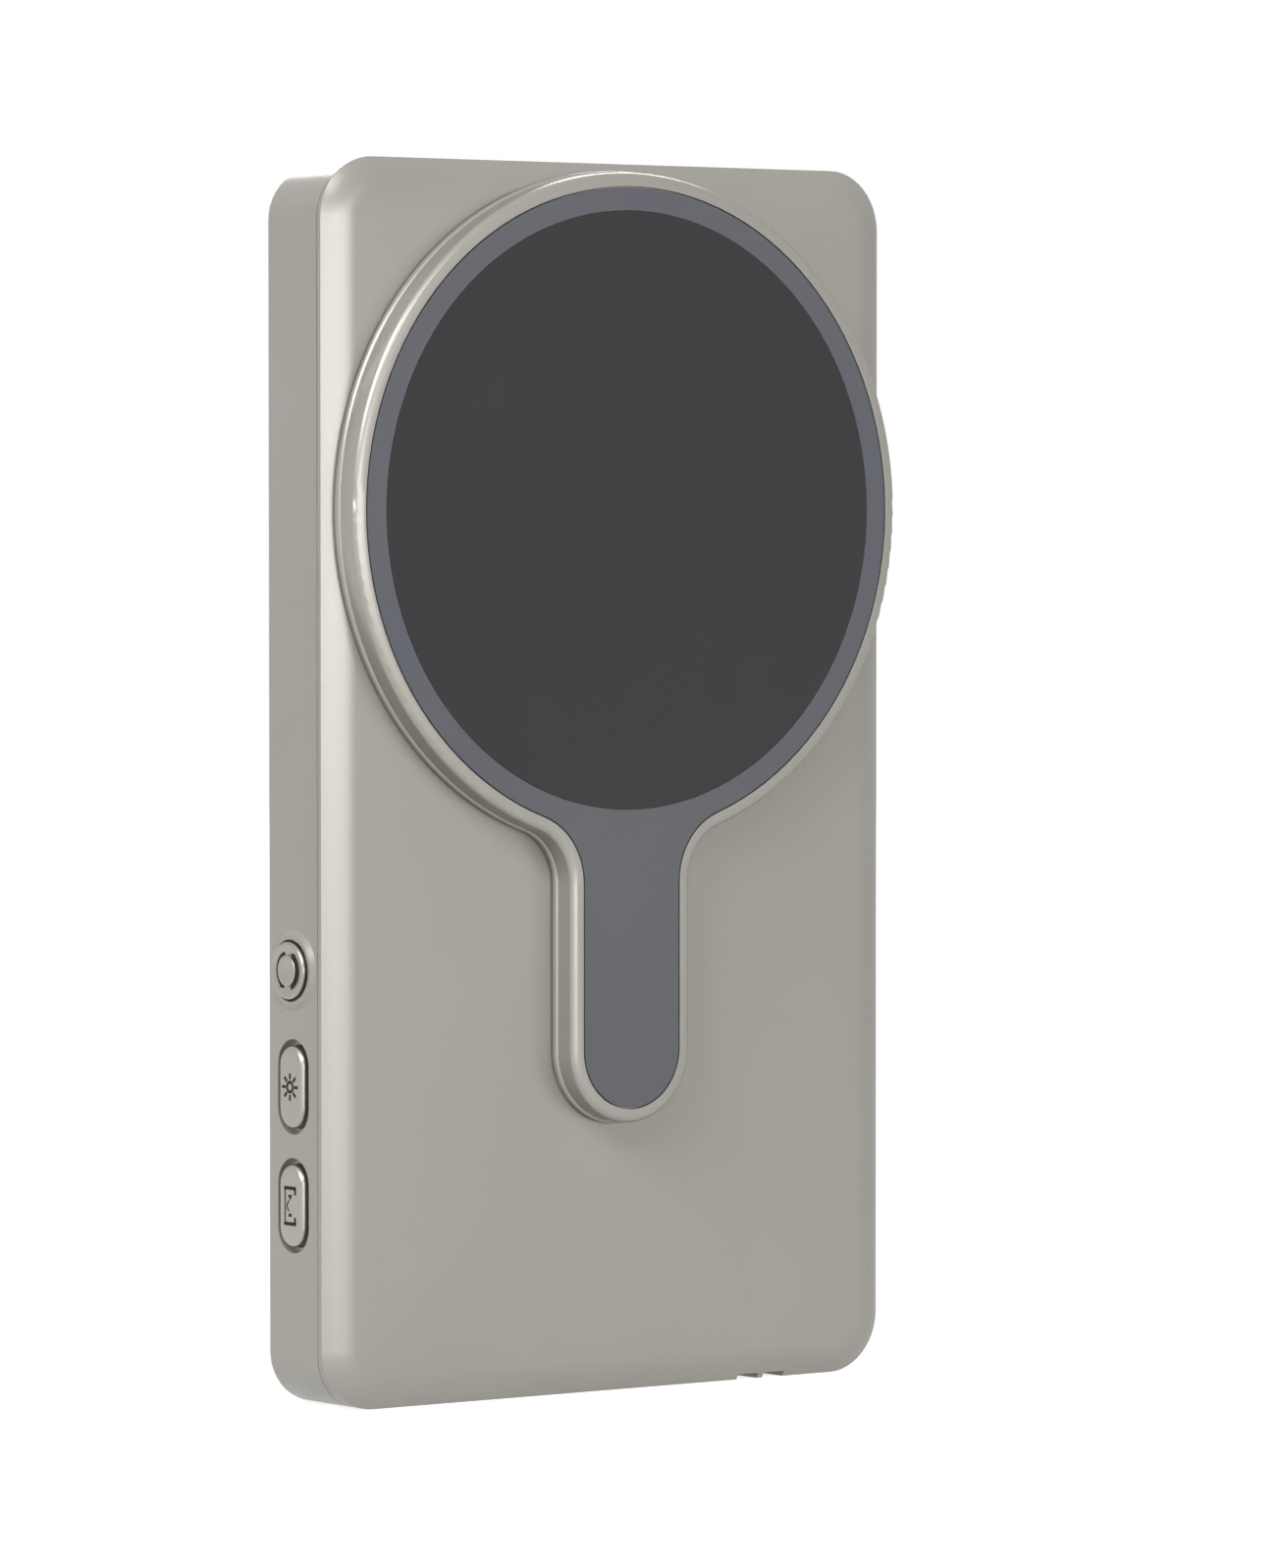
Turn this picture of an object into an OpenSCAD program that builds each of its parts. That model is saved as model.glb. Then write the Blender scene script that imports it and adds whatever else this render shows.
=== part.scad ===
// Extendable pocket shaving mirror.
// A slim metal slab carries a round mirror head on a short handle. The head lies flat on the front,
// slides up out of the slab on a carriage and tilts forward on a pin in the heel of its handle.
// +X is to the right of the front, +Y to the back, +Z up. The origin is the middle of the flat base.

/* [Body] */
// Width of the slab
body_w = 84.4; // [84:0.2:95]
// Height of the slab
body_h = 150; // [147:0.5:165]
// Depth of the front cover
cover_depth = 3.6; // [3.6:0.1:4.2]
// Depth of the rear housing
housing_depth = 11; // [11:0.1:14]
// Radius of the slab's four corners, seen from the front
corner_r = 7.4; // [6.6:0.2:9]
// Distance by which the cover's plate stands out past the housing at its sides and top
overhang = 1; // [0.6:0.1:1.2]
// Thickness of the cover's plate
plate_t = 1.5; // [1.5:0.1:1.8]
// Width of the plate's crowned edge
edge_w = 4.25; // [3.5:0.25:5]
// Fall of the crowned edge
edge_fall = 1.3; // [0.8:0.1:1.3]
// Radius of the housing's rear edge
rear_edge_r = 1.2; // [0.5:0.1:1.6]
// Wall of the rear housing
wall = 1.6; // [1.4:0.1:2]
// Skin of the front cover
cover_skin = 1.4; // [1.4:0.1:1.5]
// Wall round the pocket behind the front cover
cover_wall = 1.8; // [1.6:0.1:2.2]
// Width of the shadow line between cover and housing
seam_gap = 0.1; // [0.1:0.05:0.4]
// Depth of the shadow line
seam_depth = 0.2; // [0.2:0.05:0.6]

/* [Mirror head] */
// Distance from the slab's sides to the ring
ring_in = 1.2; // [1.1:0.1:2.5]
// Thickness of the mirror glass
glass_t = 1.6; // [1.2:0.1:1.7]
// Width of the face panel's ring, groove included
ring_w = 3; // [2.6:0.1:3.2]
// Width of the metal rim
rim_w = 1.65; // [1.5:0.05:1.8]
// Groove between rim and face panel
groove_w = 0.2; // [0.1:0.05:0.3]
// Width of the handle over its rim
handle_w = 17.9; // [17:0.1:19]
// Distance from the mirror's centre to the heel of the handle
head_reach = 74.6; // [72:0.1:76]
// Radius of the hollow curve between ring and handle
neck_r = 7; // [5:0.5:9]
// Thickness of the head
head_t = 3.8; // [3.8:0.05:4]
// Radius of the rim's front edge
rim_edge_r = 0.9; // [0.4:0.1:1]
// Thickness of the back plate's lip
lip_t = 0.8; // [0.7:0.05:0.9]
// Distance by which the lip stands out past the rim
lip_out = 0.25; // [0.15:0.05:0.3]
// Radius of the lip's front edge
lip_edge_r = 0.5; // [0.3:0.05:0.6]
// Thickness of the back plate inside the rim
back_t = 1.1; // [1:0.05:1.1]
// Thickness of the face panel
panel_t = 0.7; // [0.5:0.05:0.7]
// Thickness of the ledge under the face panel
ledge_t = 0.6; // [0.4:0.1:0.7]
// Width of the ledge under the face panel
ledge_w = 0.9; // [0.6:0.1:1]
// Gap between the closed head and the slab
head_gap = 0.25; // [0.2:0.05:0.3]
// Distance from the slab's top to the ring
ring_drop = 1.23; // [0.8:0.01:2]

/* [Slide] */
// Distance from the slab's top to the top end of the track
track_drop = 2.98; // [2.5:0.01:10]
// Width of the slot in the cover
slot_w = 14; // [13.8:0.1:14.4]
// Distance by which the heel hides the end of the slot
slot_cover = 0.2; // [0.15:0.05:0.3]
// Distance from the ring's top to the slot's top end
slot_top_drop = 2.2; // [1.5:0.1:3]
// Clearance on each side of the sliding carriage
slide_gap = 0.2; // [0.15:0.05:0.3]
// Width of the keeper plate behind the slot
keeper_w = 19; // [18:0.2:20]
// Length of the keeper plate
keeper_l = 22; // [20:0.5:22]
// Thickness of the keeper plate
keeper_t = 1.1; // [0.9:0.05:1.2]
// Length of the carriage's neck in the slot
neck_l = 16; // [14:0.5:16]
// Depth of the track behind the keeper plate
wiper_space = 0.4; // [0.35:0.05:0.45]
// Sheet thickness of the track
track_t = 0.65; // [0.5:0.05:0.8]
// Width of each flange of the track
flange_w = 4; // [3.6:0.1:4.5]

/* [Hinge] */
// Diameter of the hinge pin
pin_d = 1.3; // [1.1:0.05:1.3]
// Distance from the handle's heel to the hinge axis
axis_up = 3; // [2.8:0.1:3.2]
// Distance from the head's front to the hinge axis
axis_in = 1.85; // [1.8:0.05:1.9]
// Radius of the hinge barrels
barrel_r = 1; // [0.9:0.05:1.05]
// Width of the carriage's tongue
tongue_w = 3.8; // [3.4:0.1:4]
// Width of each knuckle on the head
knuckle_w = 1.8; // [1.4:0.1:1.9]
// Thickness of the washers between tongue and knuckles
washer_t = 0.2; // [0.15:0.05:0.25]
// Slope that clears the heel when the head tilts
heel_slope = 5; // [4:0.5:7]

/* [Controls] */
// Height of the dial's centre
dial_z = 52.6; // [50:0.1:56]
// Distance from the dial down to the brightness button
dial_pitch = 14; // [13.5:0.1:15]
// Distance from the brightness button down to the mode button
button_pitch = 14.3; // [13:0.1:15]
// Distance from the seam to the controls' centre line
controls_in = 5.1; // [5:0.1:5.6]
// Length of a button's recess
recess_l = 11.5; // [11:0.1:12]
// Width of a button's recess
recess_w = 6.5; // [6.2:0.1:6.8]
// Depth of a button's recess
recess_d = 0.9; // [0.6:0.1:1.1]
// Gap between a button cap and its recess
cap_gap = 0.75; // [0.6:0.05:0.8]
// Height of a button cap above the wall
cap_proud = 0.5; // [0.3:0.1:0.8]
// Radius of a button cap's edge
cap_edge_r = 0.7; // [0.4:0.1:0.8]
// Travel of a button
button_travel = 0.4; // [0.2:0.05:0.4]
// Diameter of the dial
dial_d = 6.94; // [6.6:0.02:7]
// Height of the dial above the wall
dial_proud = 1; // [0.9:0.05:1.3]
// Outer radius of the dial's bezel at the wall
bezel_r = 4.9; // [4.8:0.05:5]
// Height of the bezel above the wall
bezel_h = 0.45; // [0.3:0.05:0.6]
// Travel of the dial when it is pressed
dial_travel = 0.5; // [0.3:0.05:0.5]

/* [Power] */
// Distance from the housing's sides to the battery
battery_side = 11.2; // [10.5:0.1:14]
// Distance from the slab's top to the battery
battery_drop = 6.7; // [6:0.1:12]
// Thickness of the battery
battery_t = 5.2; // [4:0.1:5.2]
// Height of the main board
board_h = 43; // [40:0.5:45]
// Number of light-emitting diodes in the head
led_count = 24; // [12:4:32]

/* [Fasteners] */
// Diameter of the housing screws
screw_d = 1.6; // [1.4:0.1:1.8]
// Diameter of the housing screws' heads
screw_head_d = 3.4; // [3:0.1:3.6]
// Diameter of the small screws in the slide and the head
small_screw_d = 1.2; // [1:0.1:1.2]
// Diameter of the small screws' heads
small_head_d = 2.2; // [2:0.1:2.2]
// Radial clearance round screws and fixed pins
fit_gap = 0.05; // [0.03:0.01:0.08]

/* [Eyelet] */
// Distance from the slab's middle to the strap eyelet
eyelet_x = 23.7; // [18:0.1:26]
// Width of each mouth of the eyelet
mouth_w = 3.2; // [2.6:0.1:3.6]
// Width of the bridge between the mouths
bridge_w = 0.8; // [0.8:0.1:1.4]
// Depth of the eyelet from the base
eyelet_h = 4; // [3.6:0.1:4.5]

/* [Hidden] */
$fn = 72;
cut = 0.5;                                     // how far a cutting tool runs past a face
crease = 0.015;                                // keeps a rounding from meeting its walls at a tangent
lap = 0.1;                                     // overlap of the stretches that round the head's edge
lap_angle = 1;

// Planes from front to back
front_y = -(cover_depth + housing_depth) / 2;
back_y = -front_y;
seam_y = front_y + cover_depth;
skin_y = front_y + cover_skin;
floor_y = back_y - wall;
head_back_y = front_y - head_gap;
head_front_y = head_back_y - head_t;

// Outline of the housing, and of the cover behind its plate
house_w = body_w - 2 * overhang;
house_h = body_h - overhang;
house_r = corner_r - overhang;

// Outline of the head
ring_r = body_w / 2 - ring_in;
mirror_r = ring_r - rim_w - ring_w;
handle_r = handle_w / 2;
ring_z = body_h - ring_drop - ring_r;
heel_z = ring_z - head_reach + handle_r;       // centre of the handle's round end
neck_x = handle_r + neck_r;
neck_z = ring_z - sqrt(pow(ring_r + neck_r, 2) - pow(neck_x, 2));
neck_angle = acos(neck_x / (ring_r + neck_r));
panel_v = head_t - panel_t;                    // back of the face panel, from the head's back
ledge_v = panel_v - ledge_t;
glass_v = head_t - glass_t;
led_board_t = 0.4;
led_t = 0.5;
led_r = mirror_r + ring_w / 2;

// Hinge
axis_y = head_front_y + axis_in;
axis_z = ring_z - head_reach + axis_up;
pin_l = tongue_w + 2 * (washer_t + knuckle_w);
barrel_gap = 0.2;                              // clearance round the barrels inside the rim
arm_t = 1.2;                                   // thickness of the tongue's arm
shoulder_z = axis_z + 7;                       // top of the tongue's shoulder
shoulder_t = 1.8;
notch_w = tongue_w + 2 * washer_t;
notch_z = axis_z - 1.35;
notch_top = shoulder_z + 0.35;

// Slide
slot_top = body_h - ring_drop - slot_top_drop;
slot_end_r = handle_r + lip_out - slot_cover;
neck_w = slot_w - 2 * slide_gap;
neck_z0 = axis_z + 3.8;
keeper_z0 = axis_z - 1;
keeper_front = skin_y + slide_gap;
keeper_back = keeper_front + keeper_t;
neck_front = front_y - 0.05;
track_floor = keeper_back + wiper_space;
track_back = track_floor + track_t;
track_in_w = keeper_w + 2 * slide_gap;
track_out_w = track_in_w + 2;
bumper_gap = 0.2;
bumper_t = 1;
track_z0 = keeper_z0 - bumper_gap - bumper_t - track_t;
track_z1 = body_h - track_drop;
strip_t = 0.15;
strip_x = 6;
strip_w = 2;
track_screw_x = track_out_w / 2 + flange_w / 2;
track_screw_z = [for (part = [0.08, 0.5, 0.92]) track_z0 + part * (track_z1 - track_z0)];

// Controls, as depths from the outside of the left wall
controls_y = seam_y + controls_in;
brightness_z = dial_z - dial_pitch;
mode_z = brightness_z - button_pitch;
pad_in = wall + 1;
flange_out = pad_in + 0.05;
flange_t = 0.7;
cap_l = recess_l - 2 * cap_gap;
cap_w = recess_w - 2 * cap_gap;
slip = 0.1;                                    // clearance round a sliding cap
stub_l = 0.4;
switch_h = 1.2;
knob_h = 0.4;
board_t = 0.8;
board_in = flange_out + flange_t + stub_l + button_travel + 0.05 + knob_h + switch_h;
encoder_t = 1.4;
encoder_w = 7;
switch_w = 4.5;
side_board_front = 4.2;                        // the side board's edges, from the controls' centres
side_board_low = 8;
side_board_high = 7;
dial_recess_r = dial_d / 2 + 0.28;
dial_recess_d = 0.6;
dial_t = dial_proud + dial_recess_d - dial_travel - 0.3;
hub_r = 1.7;
spindle_r = 1;
plunger_in = board_in - encoder_t - dial_travel - 0.1;
dial_rim = 0.35;                               // radius of the dial's edge
pad_r = 1.85;                                  // raised middle of the dial
pad_rise = 0.1;

// Eyelet
eyelet_w = 2 * mouth_w + bridge_w;
eyelet_front = front_y + 0.9;
eyelet_back = seam_y + 1.3;
eyelet_wall = 1.2;
bridge_h = 2;

// Power and electronics
board_back = floor_y - 1.5;
board_front = board_back - board_t;
board_z0 = 11;
board_z1 = board_z0 + board_h;
board_x0 = battery_side - house_w / 2;
board_x1 = house_w / 2 - wall - 0.6;
board_hole_in = 3;
board_posts = [for (x = [board_x0 + board_hole_in, board_x1 - board_hole_in],
                    z = [board_z0 + board_hole_in, board_z1 - board_hole_in]) [x, z]];
// Controller, charger, driver, coil and plug: [x, z, width, height, thickness] from the board's corner
chips = [[18, 23, 9, 9, 1], [36, 27, 5, 5, 1], [50, 31, 6, 4, 1], [38, 11, 6, 6, 2.4],
         [16, 7, 10, 4, 3]];
battery_z = board_z1 + 7.3;
battery_l = body_h - battery_drop - battery_z;
battery_w = house_w - 2 * battery_side;
battery_pad_t = 0.4;
rib_gap = 0.3;
rib_t = 1;
rib_h = 3;
rib_l = 12;
battery_back = floor_y - battery_pad_t;
usb_l = 9;
usb_w = 3.2;
usb_depth = 7;
usb_gap = 0.15;
usb_z = 30;
usb_y = board_front - usb_w / 2;

// Fasteners
post_r = 2.6;
post_in = 5.8;                                 // from the housing's sides to the posts
posts = [for (side = [-1, 1], z = [post_in, house_h / 2, house_h - post_in])
         [side * (house_w / 2 - post_in), z]];
screw_head_h = 1.2;
small_head_h = 0.6;
thread_l = cover_depth - cover_skin - 0.4;
head_post_r = 1.7;
head_posts = [for (side = [-1, 1], part = [0.39, 0.88])
              [side * (handle_r - rim_w - 1.6), heel_z + part * (neck_z - heel_z)]];
keeper_holes = [for (side = [-1, 1], part = [0.25, 0.75]) [side * 0.32 * neck_w, neck_z0 + part * neck_l]];

metal = [0.66, 0.63, 0.59];
panel_blue = [0.42, 0.43, 0.46];
mirror_dark = [0.25, 0.25, 0.25];
steel = [0.72, 0.73, 0.74];
copper = [0.8, 0.5, 0.3];
dark = [0.12, 0.12, 0.13];

// ---- Placing ----

// Children drawn in X and Z, growing from the plane y towards the front
module facing_front(y) {
    translate([0, y, 0]) rotate([90, 0, 0]) children();
}

// The same, growing towards the back
module facing_back(y) {
    facing_front(y) mirror([0, 0, 1]) children();
}

// A side view in Y and Z, extruded across the slab
module across(width) {
    rotate([90, 0, 90]) linear_extrude(width, center = true) children();
}

// Children on the left wall: X runs up the wall, Z points out of it
module on_left_wall(z) {
    translate([-house_w / 2, controls_y, z]) rotate([0, -90, 0]) children();
}

// A box given by its two corners
module box(low, high) {
    translate(low) cube(high - low);
}

// ---- Shared shapes ----

module rounded_rectangle(w, h, r) {
    square([w - 2 * r, h], center = true);
    square([w, h - 2 * r], center = true);
    for (x = [-1, 1], y = [-1, 1]) translate([x * (w / 2 - r), y * (h / 2 - r)]) circle(r);
}

// Half section of a plate whose far upper edge is rounded
module soft_section(reach, h, r) {
    intersection() {
        square([reach, h]);
        union() {
            square([reach - r, h]);
            square([reach, h - r]);
            translate([reach - r, h - r]) circle(r);
        }
    }
}

// A plate with round corners. Its edge has the section given as the child, which reaches r far
module edged_plate(w, h, depth, r) {
    cube_w = w - 2 * r;
    cube_h = h - 2 * r;
    translate([-cube_w / 2, -cube_h / 2, 0]) cube([cube_w, cube_h, depth]);
    for (turn = [0:3]) {
        near = turn % 2 == 0 ? [cube_w / 2, cube_h / 2] : [cube_h / 2, cube_w / 2];
        rotate(turn * 90) translate([near[0], near[1], 0]) {
            rotate_extrude(angle = 90) children();
            rotate([90, 0, 0]) linear_extrude(2 * near[1]) children();
        }
    }
}

// The housing's outline, which the cover shares behind its plate
module slab_outline(inset) {
    translate([0, house_h / 2])
        rounded_rectangle(house_w - 2 * inset, house_h - 2 * inset, house_r - inset);
}

// Half section of the cover's plate, whose upper face falls towards the edge in an arc
module crowned_section() {
    crown_r = (pow(edge_w, 2) + pow(edge_fall, 2)) / (2 * edge_fall);
    intersection() {
        square([corner_r, plate_t]);
        union() {
            square([corner_r - edge_w, plate_t]);
            translate([corner_r - edge_w, plate_t - crown_r]) circle(crown_r);
        }
    }
}

module pill(l, w) {
    square([l - w, w], center = true);
    for (side = [-1, 1]) translate([side * (l - w) / 2, 0]) circle(w / 2);
}

// A pill-shaped cap with a rounded upper edge
module soft_pill(l, w, h, edge_r) {
    for (side = [-1, 1]) translate([side * (l - w) / 2, 0, 0])
        rotate_extrude() soft_section(w / 2, h, edge_r);
    rotate([90, 0, 90]) linear_extrude(l - w, center = true) {
        soft_section(w / 2, h, edge_r);
        mirror([1, 0]) soft_section(w / 2, h, edge_r);
    }
}

// A countersunk screw: the flat of its head lies at zero, its shank points up
module screw(d, l, head_d, head_h) {
    cylinder(h = head_h, r1 = head_d / 2, r2 = d / 2);
    cylinder(h = l, r = d / 2);
}

// The hole for such a screw
module screw_hole(d, l, head_d, head_h, gap) {
    translate([0, 0, -cut]) cylinder(h = cut + 0.01, r = head_d / 2 + gap);
    cylinder(h = head_h, r1 = head_d / 2 + gap, r2 = d / 2 + gap);
    cylinder(h = l, r = d / 2 + gap);
}

// Outline of the mirror head, drawn in X and Z: ring, handle and the hollow curves between
module head_outline(inset) {
    translate([0, ring_z]) circle(ring_r - inset);
    translate([0, heel_z]) circle(handle_r - inset);
    translate([inset - handle_r, heel_z]) square([2 * (handle_r - inset), ring_z - heel_z]);
    difference() {
        polygon([[-neck_x, neck_z], [neck_x, neck_z], [0, ring_z]]);
        for (side = [-1, 1]) translate([side * neck_x, neck_z]) circle(neck_r + inset);
    }
}

// These sweep a section along that outline: X of the section runs inwards, Y towards the front
module along_ring() {
    translate([0, ring_z, 0]) rotate(-neck_angle)
        rotate_extrude(angle = 180 + 2 * neck_angle) translate([ring_r, 0]) mirror([1, 0]) children();
}

module along_heel() {
    translate([0, heel_z, 0]) rotate(180)
        rotate_extrude(angle = 180) translate([handle_r, 0]) mirror([1, 0]) children();
}

module along_handle() {
    for (side = [-1, 1]) translate([side * handle_r, neck_z, 0]) rotate([90, 0, 0])
        linear_extrude(neck_z - heel_z + lap) mirror([side > 0 ? 1 : 0, 0]) children();
}

module along_neck(side) {
    translate([side * neck_x, neck_z, 0]) rotate((side > 0 ? 180 - neck_angle : 0) - lap_angle)
        rotate_extrude(angle = neck_angle + 2 * lap_angle) translate([neck_r, 0]) children();
}

// ---- Slab ----

// Strap eyelet: two mouths in the base that join above a bridge
module eyelet_space() {
    for (side = [-1, 1]) {
        x = eyelet_x + side * (mouth_w + bridge_w) / 2;
        box([x - mouth_w / 2, eyelet_front, -cut], [x + mouth_w / 2, eyelet_back, bridge_h + 0.01]);
    }
    box([eyelet_x - eyelet_w / 2, eyelet_front, bridge_h],
        [eyelet_x + eyelet_w / 2, eyelet_back, eyelet_h]);
}

module eyelet_block(y0, y1) {
    half = eyelet_w / 2 + eyelet_wall;
    box([eyelet_x - half, y0, wall - 0.1], [eyelet_x + half, y1, eyelet_h + eyelet_wall]);
}

module button_opening(z) {
    on_left_wall(z) {
        translate([0, 0, -recess_d]) linear_extrude(recess_d + cut) pill(recess_l, recess_w);
        translate([0, 0, -pad_in - cut]) linear_extrude(pad_in + cut)
            pill(cap_l + 2 * slip, cap_w + 2 * slip);
    }
}

module dial_boss() {
    on_left_wall(dial_z) translate([0, 0, -wall / 2])
        rotate_extrude() polygon([[0, 0], [bezel_r, 0], [bezel_r, wall / 2],
            [bezel_r - 0.65, wall / 2 + bezel_h], [0, wall / 2 + bezel_h]]);
}

module dial_opening() {
    on_left_wall(dial_z) {
        translate([0, 0, -dial_recess_d]) cylinder(h = dial_recess_d + bezel_h + cut, r = dial_recess_r);
        translate([0, 0, -pad_in - cut]) cylinder(h = pad_in + cut, r = hub_r + slip);
    }
}

module usb_mouth() {
    translate([house_w / 2, usb_y, usb_z]) rotate([0, -90, 0])
        translate([0, 0, -cut]) linear_extrude(wall + 2 * cut)
            pill(usb_l + 2 * usb_gap, usb_w + 2 * usb_gap);
}

// Low ribs on the housing's floor that hold the battery on all four sides
module battery_ribs() {
    half_w = battery_w / 2 + rib_gap;
    half_l = battery_l / 2 + rib_gap;
    translate([0, floor_y - rib_h, battery_z + battery_l / 2]) for (side = [-1, 1], end = [-1, 1]) {
        translate([side > 0 ? half_w : -half_w - rib_t, 0, end * 0.33 * battery_l - rib_l / 2])
            cube([rib_t, rib_h, rib_l]);
        translate([side * 0.28 * battery_w - rib_l / 2, 0, end > 0 ? half_l : -half_l - rib_t])
            cube([rib_l, rib_h, rib_t]);
    }
}

module rear_housing() {
    color(metal) difference() {
        union() {
            difference() {
                facing_back(seam_y) translate([0, house_h / 2, 0])
                    edged_plate(house_w, house_h, housing_depth, house_r)
                        soft_section(house_r, housing_depth, rear_edge_r);
                facing_back(seam_y - cut) linear_extrude(housing_depth - wall + cut) slab_outline(wall);
            }
            for (p = posts) facing_back(seam_y) translate([p[0], p[1], 0])
                cylinder(h = housing_depth - wall / 2, r = post_r);
            for (p = board_posts) facing_back(board_back) translate([p[0], p[1], 0])
                cylinder(h = floor_y - board_back + wall / 2, r = 1.8);
            box([-house_w / 2 + wall / 2, seam_y, mode_z - recess_l / 2 - 2],
                [-house_w / 2 + pad_in, floor_y + wall / 2, dial_z + bezel_r + 1]);
            battery_ribs();
            dial_boss();
            eyelet_block(seam_y, eyelet_back + eyelet_wall);
        }
        for (p = posts) facing_front(back_y) translate([p[0], p[1], 0])
            screw_hole(screw_d, housing_depth + cut, screw_head_d, screw_head_h, 3 * fit_gap);
        for (p = board_posts) facing_back(board_back - cut) translate([p[0], p[1], 0])
            cylinder(h = cut + 1.6, r = small_screw_d / 2 + fit_gap);
        button_opening(brightness_z);
        button_opening(mode_z);
        dial_opening();
        usb_mouth();
        eyelet_space();
    }
}

// The slot ends in an arc just inside the heel of the closed handle
module slot_outline() {
    intersection() {
        translate([0, heel_z]) circle(slot_end_r);
        translate([-slot_w / 2, heel_z - handle_r]) square([slot_w, handle_r]);
    }
    translate([-slot_w / 2, heel_z - 0.01]) square([slot_w, slot_top - heel_z - 3]);
    translate([0, slot_top - 5]) rounded_rectangle(slot_w, 10, 3);
}

module front_cover() {
    color(metal) difference() {
        union() {
            difference() {
                union() {
                    facing_front(front_y + plate_t) translate([0, body_h / 2, 0])
                        edged_plate(body_w, body_h, plate_t, corner_r) crowned_section();
                    facing_front(seam_y - seam_gap)
                        linear_extrude(cover_depth - seam_gap - plate_t + lap) slab_outline(0);
                    facing_front(seam_y) linear_extrude(seam_gap + 0.1) slab_outline(seam_depth);
                }
                facing_front(seam_y + cut) linear_extrude(seam_y - skin_y + cut) slab_outline(cover_wall);
            }
            for (p = posts) facing_front(seam_y) translate([p[0], p[1], 0])
                cylinder(h = seam_y - skin_y + cover_skin / 2, r = post_r);
            eyelet_block(skin_y - cover_skin / 4, seam_y);
        }
        for (p = posts) facing_front(seam_y + cut) translate([p[0], p[1], 0])
            cylinder(h = thread_l + cut, r = screw_d / 2 + fit_gap);
        facing_front(skin_y + cut) linear_extrude(cover_skin + 2 * cut) slot_outline();
        track_holes(skin_y + cut, cut + cover_skin - 0.4);
        eyelet_space();
    }
}

module housing_screws() {
    color(steel) for (p = posts) facing_front(back_y) translate([p[0], p[1], 0])
        screw(screw_d, housing_depth + thread_l - 0.2, screw_head_d, screw_head_h);
}

// ---- Slide ----

module track_holes(y, h) {
    for (side = [-1, 1], z = track_screw_z) facing_front(y) translate([side * track_screw_x, z, 0])
        cylinder(h = h, r = small_screw_d / 2 + fit_gap);
}

module slide_track() {
    color(steel) difference() {
        union() {
            box([-track_out_w / 2, skin_y, track_z0], [track_out_w / 2, track_back, track_z1]);
            box([-track_out_w / 2 - flange_w, skin_y, track_z0],
                [track_out_w / 2 + flange_w, skin_y + track_t, track_z1]);
        }
        box([-track_in_w / 2, skin_y - cut, track_z0 + track_t],
            [track_in_w / 2, track_floor, track_z1 - track_t]);
        track_holes(skin_y + track_t + cut, track_t + 2 * cut);
    }
}

module track_screws() {
    color(steel) for (side = [-1, 1], z = track_screw_z)
        facing_front(skin_y + track_t) translate([side * track_screw_x, z, 0]) {
            cylinder(h = track_t + cover_skin - 0.6, r = small_screw_d / 2);
            mirror([0, 0, 1]) cylinder(h = small_head_h, r = small_head_d / 2);
        }
}

module contact_strips() {
    color(copper) for (side = [-1, 1]) translate([side * strip_x, 0, 0])
        box([-strip_w / 2, track_floor - strip_t, track_z0 + 3],
            [strip_w / 2, track_floor, track_z1 - 3]);
}

// A rubber stop at each end of the track
module travel_bumpers() {
    color(dark) for (z = [track_z0 + track_t, track_z1 - track_t - bumper_t])
        box([-strip_x / 2, keeper_front, z], [strip_x / 2, track_floor, z + bumper_t]);
}

// Side view of the tongue: a barrel on the hinge axis, an arm inside the handle and a shoulder
module tongue_outline() {
    translate([axis_y, axis_z]) circle(barrel_r);
    translate([axis_y - arm_t / 2, axis_z]) square([arm_t, shoulder_z - axis_z]);
    translate([axis_y - arm_t / 2, shoulder_z - shoulder_t])
        square([neck_front + 0.5 - axis_y + arm_t / 2, shoulder_t]);
}

module slide_carriage() {
    color(steel) difference() {
        union() {
            facing_front(keeper_front) translate([0, neck_z0 + neck_l / 2, 0])
                linear_extrude(keeper_front - neck_front) rounded_rectangle(neck_w, neck_l, 1);
            across(tongue_w) tongue_outline();
        }
        translate([0, axis_y, axis_z]) rotate([0, 90, 0])
            cylinder(h = tongue_w + 2 * cut, r = pin_d / 2 + fit_gap, center = true);
        for (p = keeper_holes) facing_front(keeper_front + cut) translate([p[0], p[1], 0])
            cylinder(h = cut + 1.2, r = small_screw_d / 2 + fit_gap);
    }
}

module keeper_plate() {
    color(steel) difference() {
        facing_front(keeper_back) translate([0, keeper_z0 + keeper_l / 2, 0])
            linear_extrude(keeper_t) rounded_rectangle(keeper_w, keeper_l, 1.5);
        for (p = keeper_holes) facing_front(keeper_back) translate([p[0], p[1], 0])
            screw_hole(small_screw_d, keeper_t + cut, small_head_d, small_head_h, fit_gap);
    }
}

module keeper_screws() {
    color(steel) for (p = keeper_holes) facing_front(keeper_back) translate([p[0], p[1], 0])
        screw(small_screw_d, keeper_t + 1, small_head_d, small_head_h);
}

module wiper_contacts() {
    color(copper) for (side = [-1, 1]) translate([side * strip_x, 0, 0])
        box([-0.5, keeper_back, keeper_z0 + 0.1 * keeper_l],
            [0.5, track_floor - strip_t - 0.05, keeper_z0 + 0.2 * keeper_l]);
}

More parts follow.
